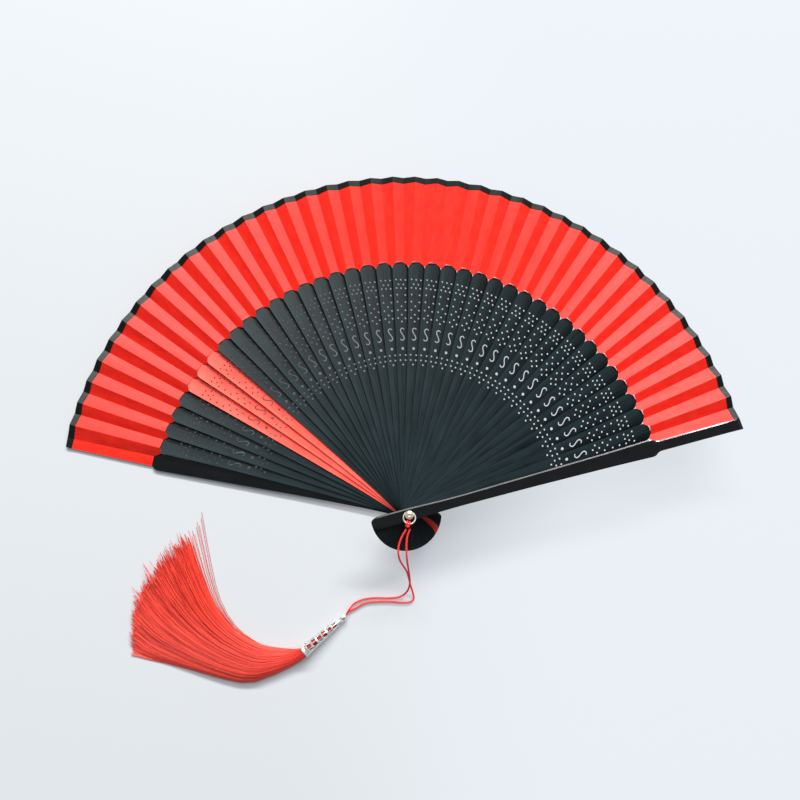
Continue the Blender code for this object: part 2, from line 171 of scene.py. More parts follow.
def stick_angle(index):
    """Direction of a stick: 0 is the back guard and LAST the front guard."""
    extra = BACK_GUARD_EXTRA if index == 0 else 0.0
    return math.radians(90.0 + OPEN_SPREAD / 2 + extra - index * STEP)


def rib_name(index):
    return f"rib_{index:02d}_{'red' if index in RED_RIBS else 'black'}"


def rib_height(index):
    return FIRST_RIB + (index - 1) * RIB_PITCH


def stick_twist(distance):
    """Tilt of a rib about its own length, in degrees."""
    if distance <= TWIST_START:
        return 0.0
    if distance <= BLADE_END:
        return BLADE_TWIST * (distance - TWIST_START) / (BLADE_END - TWIST_START)
    along = min(1.0, (distance - BLADE_END) / TWIST_CHANGE)
    return BLADE_TWIST + (SLIP_TWIST - BLADE_TWIST) * along


# ---------------------------------------------------------------- materials


def new_finish(name, colour, roughness, metallic=0.0):
    """A material with a shader; the caller adds the detail."""
    material = bpy.data.materials.new(name)
    material.use_nodes = True
    shader = material.node_tree.nodes["Principled BSDF"]
    shader.inputs["Base Color"].default_value = (*colour, 1.0)
    shader.inputs["Roughness"].default_value = roughness
    shader.inputs["Metallic"].default_value = metallic
    return material, material.node_tree, shader


def add_node(tree, kind, **settings):
    node = tree.nodes.new(kind)
    for key, value in settings.items():
        setattr(node, key, value)
    return node


def placed_pattern(tree, source, scale):
    """Pattern coordinates from the piece's own map or its object, stretched by a scale."""
    place = add_node(tree, "ShaderNodeTexCoord")
    stretch = add_node(tree, "ShaderNodeMapping")
    stretch.inputs["Scale"].default_value = scale
    tree.links.new(place.outputs[source], stretch.inputs["Vector"])
    return stretch.outputs["Vector"]


def cloudy(tree, vector, scale, detail=4.0, roughness=0.55):
    cloud = add_node(tree, "ShaderNodeTexNoise")
    cloud.inputs["Scale"].default_value = scale
    cloud.inputs["Detail"].default_value = detail
    cloud.inputs["Roughness"].default_value = roughness
    tree.links.new(vector, cloud.inputs["Vector"])
    return cloud.outputs["Fac"]


def ramp(tree, value, stops):
    """A colour for each value, from a few stops."""
    colours = add_node(tree, "ShaderNodeValToRGB")
    elements = colours.color_ramp.elements
    while len(elements) < len(stops):
        elements.new(0.5)
    for element, (position, colour) in zip(elements, stops):
        element.position = position
        element.color = (*colour, 1.0)
    tree.links.new(value, colours.inputs["Fac"])
    return colours.outputs["Color"]


def spread(tree, value, low, high):
    """A value from 0.3 to 0.7 spread over low to high."""
    reach = add_node(tree, "ShaderNodeMapRange")
    reach.inputs["From Min"].default_value = 0.3
    reach.inputs["From Max"].default_value = 0.7
    reach.inputs["To Min"].default_value = low
    reach.inputs["To Max"].default_value = high
    tree.links.new(value, reach.inputs["Value"])
    return reach.outputs["Result"]


def calculate(tree, operation, first, second):
    sum_node = add_node(tree, "ShaderNodeMath", operation=operation)
    for socket, value in zip(sum_node.inputs, (first, second)):
        if isinstance(value, (int, float)):
            socket.default_value = value
        else:
            tree.links.new(value, socket)
    return sum_node.outputs["Value"]


def blend_patterns(tree, first, first_share, second, second_share):
    """Two patterns added, each by its own share."""
    scaled_first = calculate(tree, "MULTIPLY", first, first_share)
    return calculate(tree, "ADD", scaled_first, calculate(tree, "MULTIPLY", second, second_share))


def relief(tree, shader, value, strength, depth):
    bump = add_node(tree, "ShaderNodeBump")
    bump.inputs["Strength"].default_value = strength
    bump.inputs["Distance"].default_value = depth
    tree.links.new(value, bump.inputs["Height"])
    tree.links.new(bump.outputs["Normal"], shader.inputs["Normal"])


def dyed_bamboo_with_painted_shade(name, dark, light, gloss_low, gloss_high):
    """Split bamboo with dye soaked in and long grain lines, with painted shade: each blade is painted paler
    towards its +Y edge and darker towards its other edge.
    """
    material, tree, shader = new_finish(name, light, gloss_high)
    grain = cloudy(tree, placed_pattern(tree, "UV", (0.035, 1.6, 1.0)), 1.0, 8.0, 0.62)
    patches = cloudy(tree, placed_pattern(tree, "UV", (0.05, 0.12, 1.0)), 1.0, 3.0)
    fibres = cloudy(tree, placed_pattern(tree, "UV", (0.2, 9.0, 1.0)), 1.0, 3.0)
    tone = blend_patterns(tree, grain, 0.65, patches, 0.35)
    # painted shade: across runs from -1 at the blade's -Y edge to +1 at its +Y edge, so the colour is
    # lighter towards +Y and darker on the side where the next rib's shadow falls
    edge = add_node(tree, "ShaderNodeAttribute", attribute_name="across")
    tone = calculate(tree, "ADD", tone, calculate(tree, "MULTIPLY", edge.outputs["Fac"], 0.17))
    colour = ramp(tree, tone, ((0.34, dark), (0.66, light)))
    tree.links.new(colour, shader.inputs["Base Color"])
    tree.links.new(spread(tree, grain, gloss_low, gloss_high), shader.inputs["Roughness"])
    height = calculate(tree, "ADD", grain, calculate(tree, "MULTIPLY", fibres, 0.5))
    relief(tree, shader, height, 0.35, 0.00005)
    shader.inputs["Specular IOR Level"].default_value = 0.22
    return material


def black_lacquer():
    """Sprayed lacquer over wood: deep gloss with a faint unevenness and fine handling marks."""
    material, tree, shader = new_finish("black lacquer", (0.006, 0.007, 0.008), 0.2)
    marks = cloudy(tree, placed_pattern(tree, "Object", (30.0, 400.0, 400.0)), 1.0, 5.0)
    cloud = cloudy(tree, placed_pattern(tree, "Object", (120.0, 120.0, 120.0)), 1.0, 2.0)
    tree.links.new(spread(tree, marks, 0.15, 0.3), shader.inputs["Roughness"])
    colour = ramp(tree, cloud, ((0.3, (0.001, 0.0015, 0.002)), (0.7, (0.003, 0.004, 0.005))))
    tree.links.new(colour, shader.inputs["Base Color"])
    relief(tree, shader, cloud, 0.12, 0.0004)
    shader.inputs["Specular IOR Level"].default_value = 0.3
    shader.inputs["Coat Weight"].default_value = 0.35
    shader.inputs["Coat Roughness"].default_value = 0.08
    return material


def woven_cloth(name, dark, light, pitch, sheen):
    """Plain weave in millimetres on the piece's own map, with slubs and a soft sheen."""
    material, tree, shader = new_finish(name, light, 0.6)
    threads = []
    for direction in ("X", "Y"):
        wave = add_node(tree, "ShaderNodeTexWave", bands_direction=direction)
        wave.inputs["Scale"].default_value = 0.314 / pitch
        wave.inputs["Distortion"].default_value = 0.6
        wave.inputs["Detail"].default_value = 1.0
        tree.links.new(placed_pattern(tree, "UV", (1.0, 1.0, 1.0)), wave.inputs["Vector"])
        threads.append(wave.outputs["Fac"])
    weave = calculate(tree, "MULTIPLY", threads[0], threads[1])
    slubs = cloudy(tree, placed_pattern(tree, "UV", (0.9, 0.12, 1.0)), 1.0, 5.0)
    clouds = cloudy(tree, placed_pattern(tree, "UV", (0.1, 0.1, 1.0)), 1.0, 3.0)
    tone = blend_patterns(tree, slubs, 0.6, clouds, 0.4)
    lines = calculate(tree, "MULTIPLY", calculate(tree, "SUBTRACT", weave, 0.25), 0.16)
    tone = calculate(tree, "ADD", tone, lines)
    tree.links.new(ramp(tree, tone, ((0.3, dark), (0.7, light))), shader.inputs["Base Color"])
    tree.links.new(spread(tree, slubs, 0.42, 0.54), shader.inputs["Roughness"])
    relief(tree, shader, calculate(tree, "ADD", weave, slubs), 0.3, 0.00004)
    shader.inputs["Specular IOR Level"].default_value = 0.25
    shader.inputs["Sheen Weight"].default_value = sheen
    shader.inputs["Sheen Roughness"].default_value = 0.4
    return material


def polished_metal(name, colour, shade, low, high):
    """Plated metal with slight clouded tarnish and uneven polish."""
    material, tree, shader = new_finish(name, colour, low, 0.6)
    tarnish = cloudy(tree, placed_pattern(tree, "Object", (700.0, 700.0, 700.0)), 1.0, 5.0)
    fine = cloudy(tree, placed_pattern(tree, "Object", (2500.0, 2500.0, 2500.0)), 1.0, 3.0)
    tree.links.new(ramp(tree, tarnish, ((0.35, shade), (0.62, colour))), shader.inputs["Base Color"])
    tree.links.new(spread(tree, fine, low, high), shader.inputs["Roughness"])
    relief(tree, shader, fine, 0.15, 0.00003)
    return material


def red_fibre(name, dark, light, attribute, sheen):
    """Rayon yarn: fine fibres, a silky highlight, and each strand a little different where it is marked."""
    material, tree, shader = new_finish(name, light, 0.42)
    fuzz = cloudy(tree, placed_pattern(tree, "Object", (1800.0, 1800.0, 1800.0)), 1.0, 4.0)
    tone = fuzz
    if attribute:
        strand = add_node(tree, "ShaderNodeAttribute", attribute_name=attribute)
        tone = blend_patterns(tree, fuzz, 0.4, strand.outputs["Fac"], 0.6)
    tree.links.new(ramp(tree, tone, ((0.2, dark), (0.75, light))), shader.inputs["Base Color"])
    tree.links.new(spread(tree, fuzz, 0.34, 0.52), shader.inputs["Roughness"])
    relief(tree, shader, fuzz, 0.3, 0.00006)
    shader.inputs["Sheen Weight"].default_value = sheen
    shader.inputs["Sheen Roughness"].default_value = 0.35
    return material


def pale_table_with_painted_glow():
    """A smooth pale surface with a faint painted glow, which grows towards its right half and its far parts
    while its own colour darkens there.
    """
    material, tree, shader = new_finish("pale table top with painted glow", (0.7, 0.72, 0.75), 0.8)
    place = add_node(tree, "ShaderNodeTexCoord")
    parts = add_node(tree, "ShaderNodeSeparateXYZ")
    tree.links.new(place.outputs["Object"], parts.inputs["Vector"])
    along = add_node(tree, "ShaderNodeMapRange", interpolation_type="SMOOTHSTEP")
    along.inputs["From Min"].default_value = -0.09
    along.inputs["From Max"].default_value = 0.10
    tree.links.new(parts.outputs["X"], along.inputs["Value"])
    length = add_node(tree, "ShaderNodeVectorMath", operation="LENGTH")
    tree.links.new(place.outputs["Object"], length.inputs[0])
    away = add_node(tree, "ShaderNodeMapRange", interpolation_type="SMOOTHSTEP")
    away.inputs["From Min"].default_value = 0.25
    away.inputs["From Max"].default_value = 1.1
    tree.links.new(length.outputs["Value"], away.inputs["Value"])
    share = calculate(tree, "MAXIMUM", along.outputs["Result"], away.outputs["Result"])
    # painted light: the glow lights the table under the fan's raised right side, so holes show bright there
    # and its shadow stays faint; the darker own colour keeps the open table evenly bright
    for socket, plain, glowing in (
        ("Base Color", (0.53, 0.555, 0.58), (0.10, 0.105, 0.11)),
        ("Emission Color", (0.05, 0.052, 0.055), (0.68, 0.72, 0.77)),
    ):
        tree.links.new(ramp(tree, share, ((0.0, plain), (1.0, glowing))), shader.inputs[socket])
    shader.inputs["Emission Strength"].default_value = 1.0
    shader.inputs["Specular IOR Level"].default_value = 0.1
    return material


# ---------------------------------------------------------------- making objects


def add_piece(name, bm, material, sharp=30.0):
    """Turns a finished shape in millimetres into an object in metres."""
    bmesh.ops.scale(bm, vec=(MM, MM, MM), verts=bm.verts)
    mesh = bpy.data.meshes.new(name)
    bm.to_mesh(mesh)
    bm.free()
    return link_piece(name, mesh, material, sharp)


def link_piece(name, mesh, material, sharp=30.0):
    mesh.shade_smooth()
    mesh.set_sharp_from_angle(angle=math.radians(sharp))
    mesh.materials.clear()
    mesh.materials.append(material)
    item = bpy.data.objects.new(name, mesh)
    bpy.context.scene.collection.objects.link(item)
    return item


def move_shape(bm, step):
    bmesh.ops.translate(bm, vec=step, verts=bm.verts)


def turn_shape(bm, matrix):
    """Turns a shape about the origin."""
    bmesh.ops.rotate(bm, cent=(0.0, 0.0, 0.0), matrix=matrix, verts=bm.verts)


def settle(item, body, slot, *nodes):
    """Ties a piece to its body and hides the plain nodes that it stands for; its slot is not used."""
    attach(item, body)
    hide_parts(*nodes)
    return item


def smooth_line(points, steps):
    """Points on a smooth curve through the given ones, with the given steps in each span."""
    padded = [points[0] * 2 - points[1]] + points + [points[-1] * 2 - points[-2]]
    line = []
    for before, start, end, after in zip(padded, padded[1:], padded[2:], padded[3:]):
        for step in range(steps):
            t = step / steps
            line.append(
                0.5
                * (
                    2 * start
                    + (end - before) * t
                    + (2 * before - 5 * start + 4 * end - after) * t * t
                    + (3 * start - before - 3 * end + after) * t * t * t
                )
            )
    line.append(points[-1])
    return line


def even_line(points, spacing):
    """Evenly spaced points on a smooth curve through the given ones."""
    dense = smooth_line(points, 24)
    lengths = [0.0]
    for start, end in zip(dense, dense[1:]):
        lengths.append(lengths[-1] + (end - start).length)
    count = max(2, round(lengths[-1] / spacing))
    line = []
    place = 0
    for number in range(count + 1):
        wanted = lengths[-1] * number / count
        while place < len(lengths) - 2 and lengths[place + 1] < wanted:
            place += 1
        share = (wanted - lengths[place]) / max(1e-9, lengths[place + 1] - lengths[place])
        line.append(dense[place].lerp(dense[place + 1], share))
    return line


# ---------------------------------------------------------------- sticks


BLADE_WIDTHS = (
    (HEAD_START, 3.3),
    (0.0, 3.35),
    (22.0, 2.8),
    (54.8, 3.0),
    (84.2, 3.46),
    (115.1, 4.12),
    (TIP_END - TIP_CORNER, TIP_HALF_WIDTH),
)


def blade_half_width(distance):
    """Half width of a blade on a smooth curve through its few given widths."""
    table = BLADE_WIDTHS
    place = 0
    while place < len(table) - 2 and distance > table[place + 1][0]:
        place += 1
    slopes = []
    for end in (place, place + 1):
        before = table[max(0, end - 1)]
        after = table[min(len(table) - 1, end + 1)]
        slopes.append((after[1] - before[1]) / (after[0] - before[0]))
    (x0, w0), (x1, w1) = table[place], table[place + 1]
    span = x1 - x0
    t = (distance - x0) / span
    return (
        (1 + 2 * t) * (1 - t) ** 2 * w0
        + t * (1 - t) ** 2 * span * slopes[0]
        + t * t * (3 - 2 * t) * w1
        + t * t * (t - 1) * span * slopes[1]
    )


def head_arc():
    """The round end of a stick beyond the rivet, on the +Y side, from its end to its widest place."""
    reach = HEAD_LENGTH + HEAD_START
    width = blade_half_width(HEAD_START)
    turns = [math.radians(turn) for turn in (90, 86, 80, 72, 62, 50, 36, 20, 0)]
    return [(HEAD_START - reach * math.sin(turn), width * abs(math.cos(turn)) ** 0.62) for turn in turns]


def blade_side():
    """The +Y side of a blade from its round head to where its tip starts to round off."""
    return [(x, blade_half_width(x)) for x in [-8.0 + 8.0 * step for step in range(18)]]


def tip_arc(turns):
    centre_x = TIP_END - TIP_CORNER
    centre_y = TIP_HALF_WIDTH - TIP_CORNER
    return [
        (centre_x + TIP_CORNER * math.sin(turn), centre_y + TIP_CORNER * math.cos(turn))
        for turn in (math.radians(degrees) for degrees in turns)
    ]


def slip_outline():
    """The narrow slip under the leaf, going out on its +Y side and back."""
    low = SLIP_EDGE - SLIP_WIDTH
    return [
        (TIP_END + 0.02, SLIP_EDGE),
        (SLIP_END - 0.6, SLIP_EDGE),
        (SLIP_END - 0.15, SLIP_EDGE - 0.25),
        (SLIP_END, SLIP_EDGE - 0.8),
        (SLIP_END, low + 0.8),
        (SLIP_END - 0.15, low + 0.25),
        (SLIP_END - 0.6, low),
        (TIP_END - 0.2, low),
    ]


def rib_outline():
    left = head_arc() + blade_side() + tip_arc(range(0, 91, 10))
    right = head_arc() + blade_side() + tip_arc(range(0, 61, 10))
    return left + slip_outline() + [(x, -y) for x, y in reversed(right[1:])]


def scroll_outline():
    """An S-shaped slot: a stroke of even width along a double bend."""
    middle = SCROLL_CENTRE
    reach = SCROLL_HEIGHT
    wide = SCROLL_WIDTH
    bends = [
        (reach * 0.80, -wide),
        (reach * 1.0, -wide * 0.1),
        (reach * 0.72, wide * 0.9),
        (reach * 0.28, wide * 0.55),
        (0.0, 0.0),
        (-reach * 0.28, -wide * 0.55),
        (-reach * 0.72, -wide * 0.9),
        (-reach * 1.0, wide * 0.1),
        (-reach * 0.80, wide),
    ]
    line = smooth_line([Vector((middle + x, y)) for x, y in bends], 2)
    sides = ([], [])
    for place, point in enumerate(line):
        ahead = line[min(len(line) - 1, place + 1)] - line[max(0, place - 1)]
        across = Vector((-ahead.y, ahead.x)).normalized() * SCROLL_STROKE
        sides[0].append(point + across)
        sides[1].append(point - across)
    return sides[0] + list(reversed(sides[1]))


def drop_outline():
    """A leaf-shaped opening across the blade, pointed towards the rivet."""
    points = []
    for step in range(12):
        turn = 2 * math.pi * step / 12
        pointed = 1.0 if math.cos(turn) > 0 else 1.25
        reach = DROP_LENGTH * pointed * math.cos(turn)
        points.append(Vector((DROP_CENTRE + reach, DROP_WIDTH * math.sin(turn))))
    return points


def circle_outline(x, y, radius, steps):
    turns = [2 * math.pi * step / steps for step in range(steps)]
    return [Vector((x + radius * math.cos(turn), y + radius * math.sin(turn))) for turn in turns]


def add_loop(bm, outline):
    points = [bm.verts.new((x, y, 0.0)) for x, y in outline]
    for first, second in zip(points, points[1:] + points[:1]):
        bm.edges.new((first, second))


def cut_plate(outline, openings, thickness):
    """A flat plate of even thickness with openings, its underside at zero."""
    bm = bmesh.new()
    for loop in [outline] + openings:
        add_loop(bm, loop)
    bmesh.ops.triangle_fill(bm, use_beauty=True, use_dissolve=False, edges=bm.edges[:])
    grown = bmesh.ops.extrude_face_region(bm, geom=bm.faces[:])["geom"]
    top = [item for item in grown if isinstance(item, bmesh.types.BMVert)]
    bmesh.ops.translate(bm, vec=(0.0, 0.0, thickness), verts=top)
    return bm


def cut_across(bm, stations):
    for station in stations:
        everything = bm.verts[:] + bm.edges[:] + bm.faces[:]
        bmesh.ops.bisect_plane(
            bm, geom=everything, dist=0.0001, plane_co=(station, 0, 0), plane_no=(1, 0, 0)
        )


def map_along(bm, shift=0.0):
    """Lays the piece's own map along its length, in millimetres."""
    layer = bm.loops.layers.uv.new("along the stick")
    for face in bm.faces:
        for corner in face.loops:
            corner[layer].uv = (corner.vert.co.x, corner.vert.co.y + corner.vert.co.z + shift)


def pierced_rib():
    """One rib along +X: head, pierced blade and slip, twisted more and more outwards."""
    openings = [circle_outline(0.0, 0.0, RIVET_HOLE, 16)]
    for distance, offsets in DOT_ROWS:
        openings += [circle_outline(distance, offset, DOT_RADIUS, 8) for offset in offsets]
    openings += [scroll_outline(), drop_outline()]
    bm = cut_plate(rib_outline(), openings, RIB_THICKNESS)
    move_shape(bm, (0.0, 0.0, -RIB_THICKNESS / 2))
    blade_cuts = [TWIST_START + 8.0 * step for step in range(16)]
    cut_across(bm, blade_cuts + [BLADE_END + TWIST_CHANGE / 2, BLADE_END + TWIST_CHANGE])
    bmesh.ops.recalc_face_normals(bm, faces=bm.faces)
    map_along(bm)
    # painted shade: across is kept for the material, which darkens the blade's -Y side and lightens its +Y
    # side in colour
    across = bm.verts.layers.float.new("across")
    for vert in bm.verts:
        vert[across] = vert.co.y / TIP_HALF_WIDTH
        if vert.co.x > TIP_END + 0.1:
            vert.co.z *= SLIP_THICKNESS / RIB_THICKNESS
        vert.co = Matrix.Rotation(math.radians(stick_twist(vert.co.x)), 3, "X") @ vert.co
    return bm


def guard_outline(shoulder, slip_sides):
    """A guard is as wide as a blade up to the leaf and then a narrower stick.

    slip_sides are the narrow part's offsets: +Y side at the blade and at the end, then the other side.
    """
    blade = head_arc() + blade_side()
    step = BLADE_END + shoulder
    sides = []
    for start, finish in (slip_sides[:2], slip_sides[2:]):
        sides.append(
            blade
            + [
                (step - 3.4, 4.8),
                (step - 2.2, 4.68),
                (step - 1.0, 4.25),
                (step + 0.3, start + 0.5),
                (step + 1.6, start + 0.08),
                (step + 3.0, start),
                (GUARD_LENGTH - 0.9, finish),
                (GUARD_LENGTH - 0.25, finish - 0.25),
                (GUARD_LENGTH, finish - 0.8),
            ]
        )
    return sides[0] + [(x, -y) for x, y in reversed(sides[1][1:])]


def guard_relief(distance, shoulder):
    """How far a guard's inner face is cut back to clear the tilted ribs."""
    lift = TIP_HALF_WIDTH * math.sin(math.radians(BLADE_TWIST)) + 0.05
    if distance <= TWIST_START:
        return 0.0
    if distance <= BLADE_END + shoulder - 0.4:
        return lift * (distance - TWIST_START) / (BLADE_END - TWIST_START)
    return GUARD_THICKNESS - GUARD_NARROW_THICKNESS


def guard_stick(inner_face_up, hole, shoulder, slip_sides):
    """One guard along +X, standing on zero, its outer edges softened."""
    openings = [circle_outline(0.0, 0.0, hole, 24)]
    bm = cut_plate(guard_outline(shoulder, slip_sides), openings, GUARD_THICKNESS)
    bmesh.ops.dissolve_limit(bm, angle_limit=0.01, verts=bm.verts, edges=bm.edges)
    bmesh.ops.recalc_face_normals(bm, faces=bm.faces)
    outer = 0.0 if inner_face_up else GUARD_THICKNESS
    rims = [
        edge
        for edge in bm.edges
        if abs(edge.verts[0].co.z - edge.verts[1].co.z) < 0.001
        and edge.is_manifold
        and edge.calc_face_angle() > 1.0
        and min(Vector(vert.co.xy).length for vert in edge.verts) > 3.0
    ]
    outer_rims = [edge for edge in rims if abs(edge.verts[0].co.z - outer) < 0.001]
    inner_rims = [edge for edge in rims if edge not in outer_rims]
    for edges, width, segments in ((outer_rims, GUARD_OUTER_EDGE, 1), (inner_rims, GUARD_INNER_EDGE, 3)):
        edges = [edge for edge in edges if edge.is_valid]
        bmesh.ops.bevel(
            bm, geom=edges, offset=width, segments=segments, profile=0.5, affect="EDGES", material=-1
        )
    for vert in bm.verts:
        drop = vert.co.z - outer
        if abs(drop) < GUARD_OUTER_EDGE + 0.05:
            vert.co.z = outer + GUARD_EDGE_SLOPE * drop
    cut_across(bm, (TWIST_START, BLADE_END + shoulder - 0.5, BLADE_END + shoulder + 0.5))
    direction = -1.0 if inner_face_up else 1.0
    middle = GUARD_THICKNESS / 2
    for vert in bm.verts:
        if (vert.co.z > middle) == inner_face_up:
            vert.co.z += direction * guard_relief(vert.co.x, shoulder)
    map_along(bm)
    return bm


def place_stick(bm, index, height):
    turn_shape(bm, Matrix.Rotation(stick_angle(index), 3, "Z"))
    move_shape(bm, (0.0, 0.0, height))


# ---------------------------------------------------------------- leaf


def height_over_slip(distance, offset):
    """Height of the leaf's middle over a rib's centre line where it lies on the slip."""
    twist = math.radians(stick_twist(distance))
    return offset * math.tan(twist) + SLIP_THICKNESS / 2 / math.cos(twist) + LEAF_GAP + LEAF_THICKNESS / 2


def fold_heights(index, distance):
    """Heights of the valley and the ridge at the two edges of the panel that lies on a stick."""
    if index == 0:
        flat = GUARD_NARROW_THICKNESS + LEAF_GAP + LEAF_THICKNESS / 2
        return flat, flat
    if index == LAST:
        flat = FRONT_GUARD_BASE + GUARD_THICKNESS - GUARD_NARROW_THICKNESS - LEAF_GAP - LEAF_THICKNESS / 2
        return flat, flat
    half = distance * math.radians(STEP / 4)
    slope = math.tan(math.radians(SLIP_TWIST))
    edges = (SLIP_EDGE, SLIP_EDGE - SLIP_WIDTH)
    lift = max(height_over_slip(distance, edge) - slope * edge for edge in edges)
    middle = rib_height(index) + lift
    return middle - half * slope, middle + half * slope


def fold_line_point(index, side, distance):
    """A point on a fold: side 1 is the ridge of a stick's panel and side -1 its valley."""
    quarter = math.radians(STEP / 4)
    valley, ridge = fold_heights(index, distance)
    turn = side * quarter
    if index == 0 and side == 1:
        share = (distance - LEAF_INNER) / (LEAF_OUTER - LEAF_INNER)
        turn = math.asin((BACK_WRAP[0] * (1 - share) + BACK_WRAP[1] * share) / distance)
    angle = stick_angle(index) + turn
    return Vector(
        (distance * math.cos(angle), distance * math.sin(angle), ridge if side == 1 else valley)
    )


def pleat_folds(index):
    """The folds of one strip, from the stick before it to the next: valley, ridge, valley."""
    folds = [(index, -1), (index + 1, 1), (index + 1, -1)]
    if index == 0:
        folds.insert(0, (0, 1))
    return folds


def pleat_strip(index, inner, outer, across, along, thickness, wrinkle, tongue):
    """One strip of the pleated leaf, folded over the next stick.

    inner and outer are the two edges' distances on a ridge. tongue pulls the inner edge of the free
    panel in, to where it shows between two blade tips.
    """
    folds = pleat_folds(index)
    panels = len(folds) - 1
    bm = bmesh.new()
    bmesh.ops.create_grid(bm, x_segments=across * panels, y_segments=along, size=1.0)
    layer = bm.loops.layers.uv.new("cloth")
    places = {}
    for vert in bm.verts:
        u = (vert.co.x + 1) / 2 * panels
        v = (vert.co.y + 1) / 2
        panel = min(panels - 1, int(u + 1e-6))
        share = u - panel
        (first, first_side), (second, second_side) = folds[panel], folds[panel + 1]
        cut = VALLEY_CUT * ((1 - share) * (first_side == -1) + share * (second_side == -1))
        free = first != second
        low = inner - (tongue * math.sin(math.pi * share) ** 1.2 if free else 0.0)
        if inner == LEAF_INNER:
            low += BACK_SHOULDER * ((1 - share) * (first == 0) + share * (second == 0))
        distance = low + (outer - cut - low) * v
        start = fold_line_point(first, first_side, distance)
        end = fold_line_point(second, second_side, distance)
        point = start.lerp(end, share)
        swell = math.sin(math.pi * share)
        ripple = noise.noise(Vector((index * 3.7 + u * 0.7, distance * 0.06, 1.3)))
        drape = noise.noise(Vector((index * 1.9, distance * 0.02, 7.7)))
        point.z += wrinkle * swell * (0.6 * ripple + drape if free else 0.5 * abs(ripple))
        places[vert] = (u * (distance * math.radians(STEP / 2)), distance)
        vert.co = point
    for face in bm.faces:
        for corner in face.loops:
            corner[layer].uv = places[corner.vert]
    bmesh.ops.solidify(bm, geom=bm.faces[:], thickness=thickness)
    move_shape(bm, (0.0, 0.0, thickness / 2))
    bmesh.ops.recalc_face_normals(bm, faces=bm.faces)
    return bm


# ---------------------------------------------------------------- tassel


def turned(profile, steps):
    """A line of points in the XZ plane turned all the way about Z."""
    bm = bmesh.new()
    line = [bm.verts.new((radius, 0.0, height)) for radius, height in profile]
    edges = [bm.edges.new(pair) for pair in zip(line, line[1:])]
    bmesh.ops.spin(
        bm,
        geom=line + edges,
        cent=(0.0, 0.0, 0.0),
        axis=(0.0, 0.0, 1.0),
        angle=2 * math.pi,
        steps=steps,
        use_merge=True,
        use_duplicate=False,
    )
    bmesh.ops.remove_doubles(bm, verts=bm.verts, dist=0.0005)
    bmesh.ops.recalc_face_normals(bm, faces=bm.faces)
    return bm


def rivet_shape():
    """Foot, shaft, neck and a domed head with a small set-in centre."""
    low, top = (corner.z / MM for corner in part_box("rivet"))
    base = top - RIVET_HEAD_HEIGHT
    foot_top = low + RIVET_FOOT_HEIGHT
    dome = []
    for step in range(9):
        turn = math.radians(8 + 10 * step)
        dome.append((RIVET_HEAD_RADIUS * math.cos(turn) ** 0.8, base + 0.25 + 1.12 * math.sin(turn)))
    dome = [point for point in dome if point[0] > 0.95]
    return turned(
        [
            (0.0, low),
            (RIVET_FOOT_RADIUS - 0.2, low),
            (RIVET_FOOT_RADIUS, low + 0.15),
            (RIVET_FOOT_RADIUS, foot_top),
            (RIVET_SHAFT_RADIUS, foot_top),
            (RIVET_SHAFT_RADIUS, FRONT_GUARD_TOP),
            (RIVET_NECK_RADIUS, FRONT_GUARD_TOP + 0.1),
            (RIVET_NECK_RADIUS, base),
            (RIVET_HEAD_RADIUS - 0.15, base),
            (RIVET_HEAD_RADIUS, base + 0.15),
        ]
        + dome
        + [
            (0.86, top - 0.03),
            (0.72, top - 0.1),
            (0.62, top - 0.42),
            (0.3, top - 0.5),
            (0.0, top - 0.52),
        ],
        48,
    )


def ring_frame():
    """Centre of the wire ring and the tilt it lies at."""
    low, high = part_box("tassel_ring")
    return (low + high) / 2 / MM, Matrix.Rotation(math.radians(-RING_TILT), 3, "X")


def ring_shape():
    """A cut ring of round wire: its two ends meet with a hairline gap."""
    bm = bmesh.new()
    bmesh.ops.create_circle(bm, cap_ends=True, radius=RING_WIRE, segments=14)
    turn_shape(bm, Matrix.Rotation(math.pi / 2, 3, "X"))
    move_shape(bm, (RING_RADIUS, 0.0, 0.0))
    bmesh.ops.spin(
        bm,
        geom=bm.faces[:],
        cent=(0, 0, 0),
        axis=(0, 0, 1),
        angle=math.radians(357.0),
        steps=64,
        use_merge=False,
        use_duplicate=False,
    )
    bmesh.ops.recalc_face_normals(bm, faces=bm.faces)
    centre, tilt = ring_frame()
    turn_shape(bm, Matrix.Rotation(math.radians(25.0), 3, "Z"))
    turn_shape(bm, tilt)
    move_shape(bm, centre)
    return bm


def mesh_of_curve(name, curve, *helpers):
    """The mesh that a curve draws; the curve's object and its helpers are cleared away."""
    maker = bpy.data.objects.new(name + "_line", curve)
    bpy.context.scene.collection.objects.link(maker)
    bpy.context.view_layer.update()
    drawn = maker.evaluated_get(bpy.context.evaluated_depsgraph_get())
    mesh = bpy.data.meshes.new_from_object(drawn)
    mesh.name = name
    for old in (maker, *helpers):
        bpy.data.objects.remove(old, do_unlink=True)
    return mesh


def hitch_centre():
    low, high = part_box("cord_hitch")
    return (low + high) / 2 / MM


